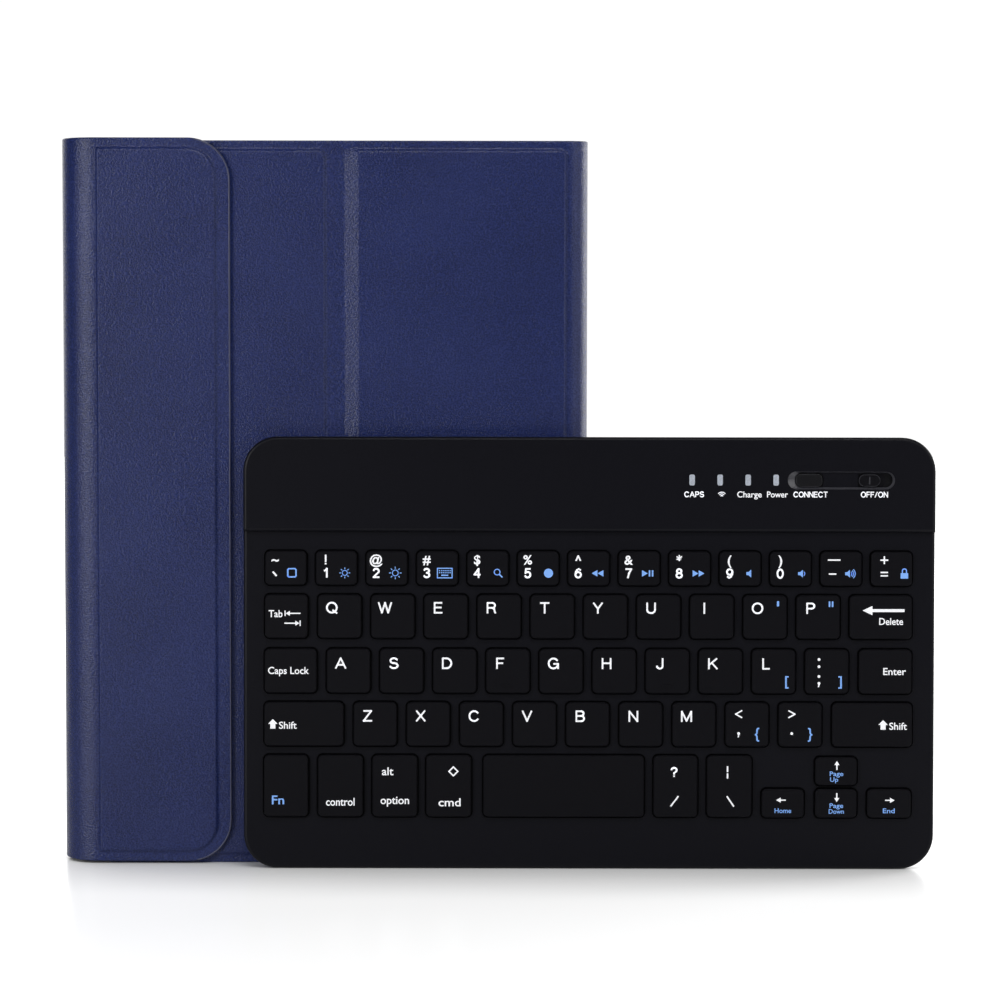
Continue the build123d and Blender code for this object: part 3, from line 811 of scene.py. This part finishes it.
def play_marks(body, x, t, kind):
    """Rewind, play and pause, or forward."""

    def wedge(left, way):
        tip, flat = (left + 1.7, left) if way > 0 else (left, left + 1.7)
        patch(body, "blue", [(flat, t - 0.95), (tip, t), (flat, t + 0.95)][::way])

    if kind == "back":
        wedge(x - 1.75, -1)
        wedge(x, -1)
    elif kind == "on":
        wedge(x - 1.75, 1)
        wedge(x, 1)
    else:
        wedge(x - 1.8, 1)
        for dx in (0.4, 1.3):
            stroke(body, "blue", [(x + dx, t - 0.75), (x + dx, t + 0.75)], 0.45)


def icons(body, index, x, t):
    """The small blue function mark on a number-row key."""
    if index == 0:
        stroke(body, "blue",
               [(x - 0.9, t - 1.2), (x + 0.9, t - 1.2), (x + 1.2, t - 0.9), (x + 1.2, t + 0.9),
                (x + 0.9, t + 1.2), (x - 0.9, t + 1.2), (x - 1.2, t + 0.9), (x - 1.2, t - 0.9)],
               0.42, True)
    elif index in (1, 2):
        sun(body, x, t, 1.5 if index == 1 else 1.75)
    elif index == 3:
        stroke(body, "blue",
               [(x - 2.15, t - 1.4), (x + 2.15, t - 1.4), (x + 2.15, t + 1.4), (x - 2.15, t + 1.4)],
               0.3, True)
        for row in (-0.7, -0.1):
            for k in range(6):
                stroke(body, "blue",
                       [(x - 1.6 + 0.62 * k, t + row), (x - 1.45 + 0.62 * k, t + row)], 0.32)
        stroke(body, "blue", [(x - 0.9, t + 0.65), (x + 0.9, t + 0.65)], 0.36)
    elif index == 4:
        stroke(body, "blue", arc(x - 0.25, t - 0.3, 0.85, 0, 330, 11), 0.28, True)
        stroke(body, "blue", [(x + 0.4, t + 0.35), (x + 1.2, t + 1.15)], 0.4)
    elif index == 5:
        disc(body, "blue", x, t, 1.35)
    elif index in (6, 7, 8):
        play_marks(body, x, t, {6: "back", 7: "both", 8: "on"}[index])
    elif index in (9, 10, 11):
        speaker(body, x, t, {9: 0, 10: 1, 11: 3}[index])
    else:
        patch(body, "blue",
              [(x - 1.1, t - 0.2), (x + 1.1, t - 0.2), (x + 1.1, t + 1.4), (x - 1.1, t + 1.4)])
        bow = arc(x, t - 0.85, 0.6, 180, 0, 6)
        stroke(body, "blue", [(x - 0.6, t - 0.3)] + bow + [(x + 0.6, t - 0.3)], 0.34)


ICON_X = (7.8, 8.5, 8.5, 8.2, 9.0, 9.0, 8.6, 8.6, 8.6, 8.7, 9.4, 9.1, 9.7)
LETTER_T = {"upper": 3.8, "home": 4.2, "lower": 4.0}


def number_row():
    """Numbers, symbols and function marks of the top row."""
    body = "key_number_row"
    upper = "~!@#$%^&*()_+"
    under = "`1234567890-="
    for i, x in enumerate(number_x):
        t = ROWS["number"]
        left = x + 2.9
        if i == 11:
            stroke(body, "white", [(left - 0.7, t + 2.4), (left + 2.7, t + 2.4)], 0.42)
            stroke(body, "white", [(left - 0.4, t + 6.5), (left + 1.5, t + 6.5)], 0.42)
        elif i == 12:
            left += 0.9
            stroke(body, "white", [(left - 1.0, t + 2.4), (left + 1.0, t + 2.4)], 0.42)
            stroke(body, "white", [(left, t + 1.4), (left, t + 3.4)], 0.42)
            for row in (6.0, 7.0):
                stroke(body, "white", [(left - 0.95, t + row), (left + 0.95, t + row)], 0.4)
        else:
            if i == 1:
                pen(body, "!", left, t + 2.5, 3.0, 0.17)
            else:
                letters(body, upper[i], left, t + 2.5, SYMBOL, bold=0.02)
            if i:
                pen(body, under[i], left, t + 6.4, 3.0, 0.17)
            else:
                stroke(body, "white", [(left - 0.6, t + 6.2), (left + 0.3, t + 7.2)], 0.5)
        icons(body, i, x + ICON_X[i], t + 6.4)


def letter_rows():
    """Letters and marks of the three letter rows."""
    for row, xs, chars in (("upper", upper_x, "QWERTYUIOP"), ("home", home_x, "ASDFGHJKL"),
                           ("lower", lower_x, "ZXCVBNM")):
        for left, char in zip(xs, chars):
            pen(f"key_{row}_letters", char, left + 4.1, ROWS[row] + LETTER_T[row], LETTER)
    body = "key_upper_letters"
    t = ROWS["upper"]
    stroke(body, "blue", [(upper_x[8] + 10.1, t + 1.9), (upper_x[8] + 10.1, t + 3.0)], 0.62)
    for dx in (9.6, 10.5):
        stroke(body, "blue", [(upper_x[9] + dx, t + 1.9), (upper_x[9] + dx, t + 3.2)], 0.48)
    body = "key_home_letters"
    t = ROWS["home"]
    x = home_x[9] + 4.0
    for row in (2.9, 5.0, 7.9):
        disc(body, "white", x, t + row, 0.42)
    disc(body, "white", x, t + 9.9, 0.42)
    stroke(body, "white", [(x + 0.15, t + 9.9), (x - 0.1, t + 10.9)], 0.36)
    letters(body, "[", home_x[8] + 10.2, t + 9.2, 2.7, "blue")
    letters(body, "]", home_x[9] + 10.2, t + 9.2, 2.7, "blue")
    body = "key_lower_letters"
    t = ROWS["lower"]
    for i, way, brace in ((7, -1, "{"), (8, 1, "}")):
        x = lower_x[i] + 3.8
        stroke(body, "white",
               [(x - way * 0.9, t + 2.3), (x + way * 0.9, t + 3.3), (x - way * 0.9, t + 4.3)], 0.4)
        disc(body, "white", x, t + 9.0, 0.42)
        if way < 0:
            stroke(body, "white", [(x + 0.15, t + 9.0), (x - 0.1, t + 10.0)], 0.36)
        letters(body, brace, lower_x[i] + 9.2, t + 9.0, 2.9, "blue")


def arrow(body, x0, x1, t, head=1.2, tall=0.75, width=0.34, bar=False):
    """A level arrow from x0 to its tip at x1, with an optional stop bar at the tip."""
    way = 1 if x1 > x0 else -1
    stroke(body, "white", [(x0, t), (x1 - way * head, t)], width)
    patch(body, "white", [(x1, t), (x1 - way * head, t + tall), (x1 - way * head, t - tall)][::way])
    if bar:
        stroke(body, "white", [(x1 + way * 0.2, t - 0.7), (x1 + way * 0.2, t + 0.7)], 0.34)


def upright_arrow(body, x, t, way, long=2.5):
    """A small vertical arrow; way -1 points up."""
    stroke(body, "white", [(x, t - way * long / 2), (x, t + way * (long / 2 - 0.7))], 0.4)
    tip = t + way * long / 2
    foot = tip - way * 1.2
    patch(body, "white", [(x, tip), (x - 0.75 * way, foot), (x + 0.75 * way, foot)][::-1])


def shift_arrow(body, x, t):
    """A broad upward arrow."""
    patch(body, "white", [(x, t - 1.4), (x - 1.4, t), (x - 0.75, t), (x - 0.75, t + 1.4),
                          (x + 0.75, t + 1.4), (x + 0.75, t), (x + 1.4, t)])


# Left edges of the other keys, from the keyboard's left end, and the tops of the arrow keys.
TAB, CAPS_LOCK, ENTER = 6.4, 6.3, 180.7
SHIFTS = (("key_shift_left", 6.2), ("key_shift_right", 185.3))
FN, CONTROL, OPTION, COMMAND, SLASH, BACKSLASH = 6.1, 21.9, 37.9, 53.7, 120.5, 136.2
ARROW_LEFT, ARROW_MIDDLE, ARROW_RIGHT = 152.3, 168.0, 183.3
UP_TOP, ARROWS_TOP = 93.9, 103.3


def wide_keys():
    """Words and marks of the keys that aren't in a shared row."""
    small = 2.0
    t = ROWS["upper"]
    letters("key_tab", "Tab", TAB + 3.1, t + 5.6, small, wide=4.1)
    arrow("key_tab", TAB + 10.3, TAB + 6.1, t + 5.5, bar=True)
    arrow("key_tab", TAB + 5.8, TAB + 10.1, t + 8.4, bar=True)
    arrow("key_delete", 193.6, 181.6, t + 4.4, 2.9, 1.35, 0.85)
    letters("key_delete", "Delete", 190.0, t + 7.6, 1.95, wide=7.0)
    t = ROWS["home"]
    letters("key_caps_lock", "Caps Lock", CAPS_LOCK + 7.0, t + 6.4, small, wide=12.0)
    letters("key_enter", "Enter", ENTER + 10.4, t + 6.4, small, wide=6.7)
    t = ROWS["lower"]
    for key, x in SHIFTS:
        shift_arrow(key, x + 2.5, t + 6.4)
        letters(key, "Shift", x + 6.9, t + 6.8, small, wide=5.2)
    t = ROWS["space"]
    letters("key_fn", "Fn", FN + 4.1, t + 13.2, 2.5, "blue", wide=3.6)
    letters("key_control", "control", CONTROL + 6.6, t + 13.7, 2.25, wide=8.4)
    letters("key_option", "alt", OPTION + 4.5, t + 4.7, 2.25, wide=3.4)
    letters("key_option", "option", OPTION + 6.6, t + 13.2, 2.25, wide=8.4)
    letters("key_command", "cmd", COMMAND + 6.9, t + 13.8, 2.3, wide=6.5)
    x, y = COMMAND + 8.0, t + 4.7
    diamond = [(x, y - 1.3), (x + 1.3, y), (x, y + 1.3), (x - 1.3, y)]
    stroke("key_command", "white", diamond, 0.4, True)
    pen("key_slash", "?", SLASH + 6.0, t + 4.8, 3.0, 0.16)
    stroke("key_slash", "white", [(SLASH + 5.1, t + 14.8), (SLASH + 7.2, t + 12.0)], 0.44)
    for x0, t0, x1, t1, thick in ((6.0, 3.2, 6.0, 4.6, 0.46), (6.0, 5.3, 6.0, 6.5, 0.46),
                                  (5.9, 12.0, 7.8, 14.8, 0.44)):
        line = [(BACKSLASH + x0, t + t0), (BACKSLASH + x1, t + t1)]
        stroke("key_backslash", "white", line, thick)
    row = ARROWS_TOP
    arrow("key_arrow_left", ARROW_LEFT + 6.9, ARROW_LEFT + 4.2, row + 3.2, 1.35)
    letters("key_arrow_left", "Home", ARROW_LEFT + 6.2, row + 6.3, 1.35, "blue", wide=4.9)
    arrow("key_arrow_right", ARROW_RIGHT + 5.3, ARROW_RIGHT + 8.0, row + 3.2, 1.35)
    letters("key_arrow_right", "End", ARROW_RIGHT + 6.3, row + 6.3, 1.35, "blue", wide=3.5)
    upright_arrow("key_arrow_up", ARROW_MIDDLE + 6.3, UP_TOP + 2.3, -1)
    upright_arrow("key_arrow_down", ARROW_MIDDLE + 6.3, row + 2.5, 1)
    for key, top, word, dx, wide in (("key_arrow_up", UP_TOP, "Up", 5.5, 2.4),
                                     ("key_arrow_down", row, "Down", 6.2, 4.5)):
        letters(key, "Page", ARROW_MIDDLE + 6.2, top + 4.8, 1.3, "blue", wide=4.0)
        letters(key, word, ARROW_MIDDLE + dx, top + 6.5, 1.3, "blue", wide=wide)


def indicator_labels():
    """Words beside the lamp windows and the two controls."""
    body = "keyboard"
    t = 16.7
    for word, x, wide in (("CAPS", 132.1, 5.8), ("CONNECT", 166.2, 10.1), ("OFF/ON", 184.9, 8.0)):
        capitals(body, word, x, t, 1.75, wide)
    for word, x, wide in (("Charge", 148.3, 7.2), ("Power", 156.5, 6.1)):
        letters(body, word, x, t, 1.7, wide=wide)
    for r in (0.45, 0.95, 1.45):
        stroke(body, "white", arc(140.2, t + 0.8, r, 45, 135, 6), 0.24)


# ------------------------------------------------------------------ controls
# Left, right, upper and lower edges, in the keyboard's own frame.
RECESS = (159.5, 190.9, 9.9, 15.2)
RECESS_FLOOR = 5.82
CONNECT = (161.9, 169.7, 10.7, 14.5)
SLIDER = (180.3, 186.7, 10.8, 14.4)
SLIDER_PLATE = (179.0, 188.2, 10.1, 15.1)
BAR = [(183.3, 11.5), (183.3, 13.7), (183.7, 13.7), (183.7, 11.5)]


def pill(x0, x1, t0, t1, inset=0.0):
    """Outline of a bar with round ends."""
    r = (t1 - t0) / 2 - inset
    middle = (t0 + t1) / 2
    left, right = x0 + inset + r, x1 - inset - r
    return arc(left, middle, r, 90, 270, 20) + arc(right, middle, r, 270, 450, 20)


def stack(name, levels, material, hollow=False):
    """A piece through outlines of equal length, each at its own height.

    A hollow one is a ring, whose last outline joins its first."""
    count = len(levels[0][0])
    verts = [tuple(on_keyboard(x, t, w)) for outline, w in levels for x, t in outline]
    faces = []
    for k in range(len(levels) if hollow else len(levels) - 1):
        low, high = k * count, (k + 1) % len(levels) * count
        for i in range(count):
            j = (i + 1) % count
            faces.append([low + i, low + j, high + j, high + i])
    if not hollow:
        faces.append(list(range(count))[::-1])
        faces.append(list(range((len(levels) - 1) * count, len(levels) * count)))
    return make(name, verts, faces, material, smooth=False)


def rim(name, shape, low, high, body):
    """A narrow glossy edge round a control's face, in a grey much lighter than the keys: a painted
    highlight on real gloss.
    """
    levels = [(pill(*shape), low), (pill(*shape, 0.16), high), (pill(*shape, 0.34), low)]
    piece = stack(name, levels, GREY_EDGE_HIGHLIGHT, hollow=True)
    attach(piece, body)


def controls():
    """The dished edge of the recess, the slider's round cap, and the glossy edges; the lip, the
    rims and the slider's ridge are a lighter grey than the keys, a painted highlight.
    """
    x0, x1, t0, t1 = RECESS
    outside = pill(x0, x1, t0, t1, 0.02)
    dished = pill(x0 + 2.2, x1 - 0.6, t0 + 0.35, t1 - 0.60)
    lip = stack("recess_lip", [(outside, KB_TOP), (dished, RECESS_FLOOR), (outside, RECESS_FLOOR)],
                GREY_EDGE_HIGHLIGHT, hollow=True)
    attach(lip, "keyboard")
    plate = stack("slider_plate", [(pill(*SLIDER_PLATE), 4.75), (pill(*SLIDER_PLATE), 5.25)], KEY)
    levels = [(pill(*SLIDER), 5.2), (pill(*SLIDER), 6.15), (pill(*SLIDER, 0.25), 6.3)]
    cap = stack("slider_cap", levels, KEY)
    ridge = stack("slider_ridge", [(BAR, 6.25), (BAR, 6.38)], GREY_EDGE_HIGHLIGHT)
    for piece in (plate, cap, ridge):
        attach(piece, "power_slider")
        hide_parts("power_slider")
    rim("slider_rim", SLIDER, 6.12, 6.36, "power_slider")
    rim("connect_button_rim", CONNECT, 6.24, 6.395, "connect_button")


def print_ink():
    """Makes the collected marks into one piece for each body and colour."""
    for (body, colour), (verts, faces) in ink.items():
        piece = make(f"print_{colour}_{body}", verts, faces, INKS[colour], smooth=False)
        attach(piece, body)


def soften_cad():
    """Small rounds on the moulded CAD parts."""
    sizes = {"keyboard_top_frame": 0.12, "tablet_tray": 0.3, "usb_port": 0.08}
    for part in frame["record"]["subparts"]:
        if part["material_slot"] == "key_black":
            sizes[part["node"]] = 0.14
    for node, size in sizes.items():
        bevel = frame["nodes"][node].modifiers.new("soft_edges", "BEVEL")
        bevel.width = size * MM
        bevel.segments = 2
        bevel.limit_method = "ANGLE"
        bevel.angle_limit = math.radians(38)


# ------------------------------------------------------------------ studio
TABLE = (-2500, 2500, -480, 2600)       # its left, right, front and back edges
FLOOR_GLOW = 0.66             # the table's own light, seen by the camera only
CONTACT_REACH = 0.050         # how far the contact shade runs over the table, in metres
CONTACT_POWER = 1.6
CAMERA_AT = (0.00105, FRONT * MM - 0.9, 0.1626)
CAMERA_LENS = 110.2
CAMERA_PITCH = 3.45           # degrees below level
CAMERA_ROLL = 0.10


def floor():
    """A large white glossy table top. Its own glow, seen by the camera only, is dimmed next to the
    object as a painted contact shadow, and rises with distance from the middle so the far table
    stays white.
    """
    x0, x1, y0, y1 = TABLE
    corners = [(x0, y0, 0), (x1, y0, 0), (x1, y1, 0), (x0, y1, 0)]
    n = Nodes("white_table")
    piece = make("studio_floor", corners, [[0, 1, 2, 3]], n.material, smooth=False)
    n.set(Base_Color=(0.9, 0.9, 0.9, 1), Roughness=0.20, Specular_IOR_Level=0.4)
    n.set(Emission_Color=(1, 1, 1, 1))
    seen = n.tree.nodes.new("ShaderNodeLightPath").outputs["Is Camera Ray"]
    # Painted contact shadow: the glow is dimmed where ambient occlusion finds the object close by.
    near = n.add("ShaderNodeAmbientOcclusion", Distance=CONTACT_REACH).outputs["AO"]
    glow = n.maths("MULTIPLY", n.maths("POWER", near, CONTACT_POWER), FLOOR_GLOW)
    # The glow rises with distance from the middle, so the far table stays white.
    far = n.add("ShaderNodeMapRange", From_Min=0.28, From_Max=0.60, To_Min=0.0, To_Max=0.5)
    away = n.tree.nodes.new("ShaderNodeVectorMath")
    away.operation = "LENGTH"
    n.link(n.place, away.inputs[0])
    n.link(away.outputs["Value"], far.inputs["Value"])
    glow = n.maths("ADD", glow, far.outputs["Result"])
    n.link(n.maths("MULTIPLY", seen, glow), n.shader.inputs["Emission Strength"])


def lamp(name, at, aim, size, power):
    """A rectangular soft light; places in metres."""
    data = bpy.data.lights.new(name, "AREA")
    data.shape = "RECTANGLE"
    data.size, data.size_y = size
    data.energy = power
    obj = bpy.data.objects.new(name, data)
    obj.location = at
    obj.rotation_euler = (Vector(aim) - Vector(at)).to_track_quat("-Z", "Y").to_euler()
    bpy.context.scene.collection.objects.link(obj)


def studio():
    """Softboxes at both front sides, behind at the right and high in front, and a backdrop.

    The backdrop is white to the camera; the rest sees it bright only towards the back."""
    lamp("left_front", (-0.555, -0.555, 0.28), (-0.10, 0, 0.13), (0.32, 0.50), 2.2)
    lamp("right_front", (0.60, -0.48, 0.34), (0.06, 0, 0.13), (0.42, 0.46), 1.15)
    lamp("right_back", (0.90, 0.50, 0.32), (0.08, 0, 0.12), (0.4, 0.8), 6)
    lamp("upper_front", (0.12, -0.56, 0.80), (0.03, 0, 0.18), (0.5, 0.15), 2.0)
    world = bpy.data.worlds.new("studio_world")
    world.use_nodes = True
    tree = world.node_tree
    back = tree.nodes["Background"]
    back.inputs["Color"].default_value = (1, 1, 1, 1)
    way = tree.nodes.new("ShaderNodeTexCoord")
    split = tree.nodes.new("ShaderNodeSeparateXYZ")
    shade = tree.nodes.new("ShaderNodeMapRange")
    shade.inputs["From Min"].default_value = 0.55
    shade.inputs["From Max"].default_value = 0.9
    shade.inputs["To Min"].default_value = 0.03
    shade.inputs["To Max"].default_value = 1.5
    seen = tree.nodes.new("ShaderNodeLightPath")
    pick = tree.nodes.new("ShaderNodeMix")
    pick.inputs[3].default_value = 1.05
    tree.links.new(way.outputs["Generated"], split.inputs[0])
    tree.links.new(split.outputs["Y"], shade.inputs["Value"])
    tree.links.new(seen.outputs["Is Camera Ray"], pick.inputs[0])
    tree.links.new(shade.outputs["Result"], pick.inputs[2])
    tree.links.new(pick.outputs[0], back.inputs["Strength"])
    bpy.context.scene.world = world
    bpy.context.scene.view_settings.view_transform = "Standard"


def camera():
    """A long lens a little above the object, pitched slightly down."""
    data = bpy.data.cameras.new("camera")
    data.sensor_width = 36.0
    data.lens = CAMERA_LENS
    obj = bpy.data.objects.new("camera", data)
    obj.location = CAMERA_AT
    pitch = math.radians(90 - CAMERA_PITCH)
    roll = math.radians(CAMERA_ROLL)
    turn = Matrix.Rotation(pitch, 4, "X") @ Matrix.Rotation(roll, 4, "Z")
    obj.rotation_euler = turn.to_euler()
    bpy.context.scene.collection.objects.link(obj)
    bpy.context.scene.camera = obj


paint_cad()
front_cover()
spine()
rear_cover()
flap_edge()
number_row()
letter_rows()
wide_keys()
indicator_labels()
controls()
print_ink()
soften_cad()
floor()
studio()
camera()
